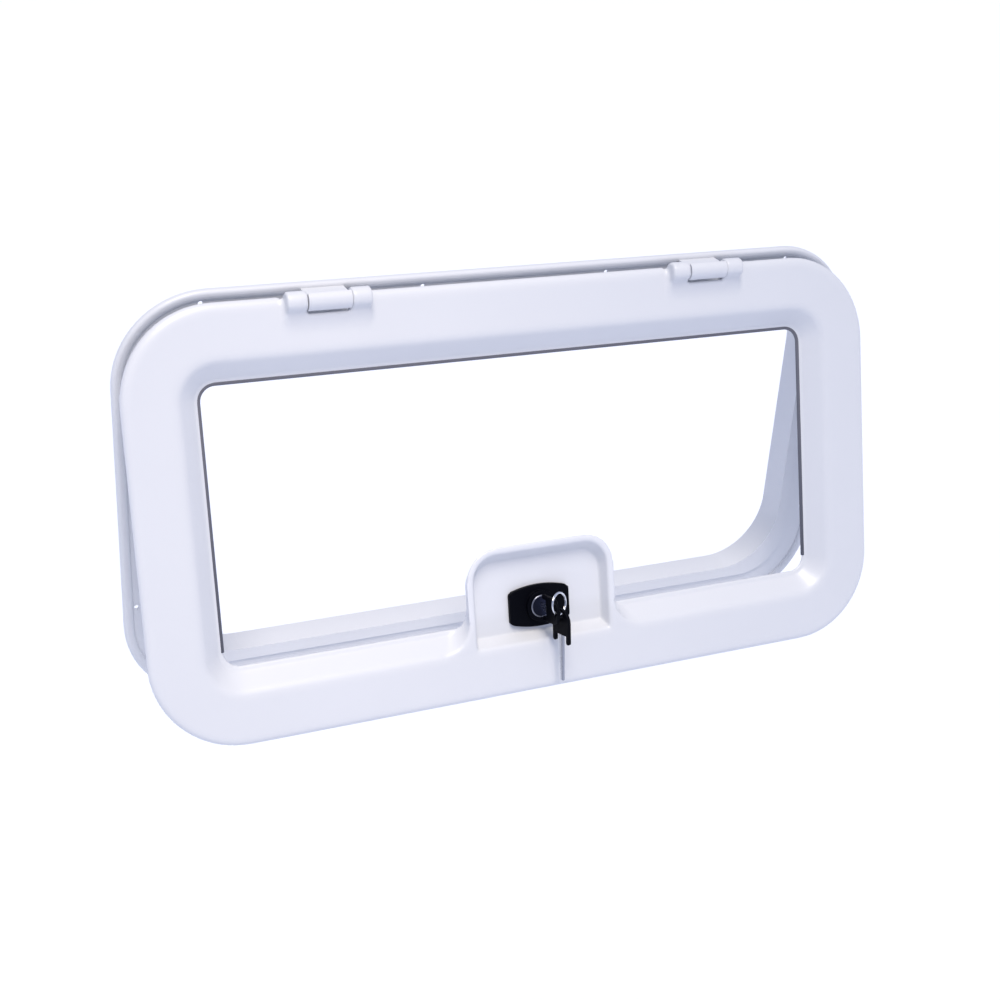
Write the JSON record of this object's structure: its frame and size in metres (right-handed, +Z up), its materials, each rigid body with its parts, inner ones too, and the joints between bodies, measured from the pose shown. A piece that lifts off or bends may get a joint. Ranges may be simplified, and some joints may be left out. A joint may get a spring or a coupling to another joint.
{
  "type": "camper hatch door",
  "caption": "White moulded hatch door for a camper's outer wall: a bevelled door ring hinged at the top of a collared wall frame, with a recessed key lock and an open panel space.",
  "frame": {"origin": "on the flat back face of the wall frame's flange, in the middle of its bottom run", "axes": "+X to the right seen from outside, +Y into the vehicle through the wall, +Z up"},
  "size_m": [0.651, 0.1528, 0.348],
  "materials": {
    "abs_white": "satin white moulded plastic",
    "black_plastic": "satin black plastic",
    "zinc": "die-cast zinc",
    "chrome": "polished",
    "steel": "plated steel"
  },
  "bodies": {
    "frame": {"frame_flange": "abs_white", "frame_collar": "abs_white", "frame_hinge_left": "abs_white", "frame_hinge_right": "abs_white", "hinge_pin_left": "steel", "hinge_pin_right": "steel", "lock_catch": "abs_white"},
    "door": {"door_ring": "abs_white", "lock_housing": "abs_white", "door_hinge_left": "abs_white", "door_hinge_right": "abs_white", "lock_plate": "black_plastic", "barrel_ring": "chrome", "lock_bush": "black_plastic", "lock_nut": "zinc"},
    "key": {"key_barrel": "zinc", "latch_tongue": "steel", "tongue_screw": "steel", "key_blade": "steel", "key_head": "black_plastic", "split_ring": "chrome"},
    "spare_key": {"spare_key_head": "black_plastic", "spare_key_blade": "steel"}
  },
  "joints": [
    {"name": "door_swing", "type": "hinge", "parent": "frame", "child": "door", "pos_m": [0, -0.0213, 0.3226], "axis": [-1, 0, 0], "range_deg": [-16.7, 148.3]},
    {"name": "key_turn", "type": "hinge", "parent": "door", "child": "key", "pos_m": [0, -0.09132, 0.06694], "axis": [0, 0.9578, -0.2874], "range_deg": [0, 90]},
    {"name": "spare_swing", "type": "hinge", "parent": "key", "child": "spare_key", "pos_m": [0.0063, -0.11499, 0.07033], "axis": [-0.9848, -0.17, 0.0352], "range_deg": [-6, 70]}
  ]
}
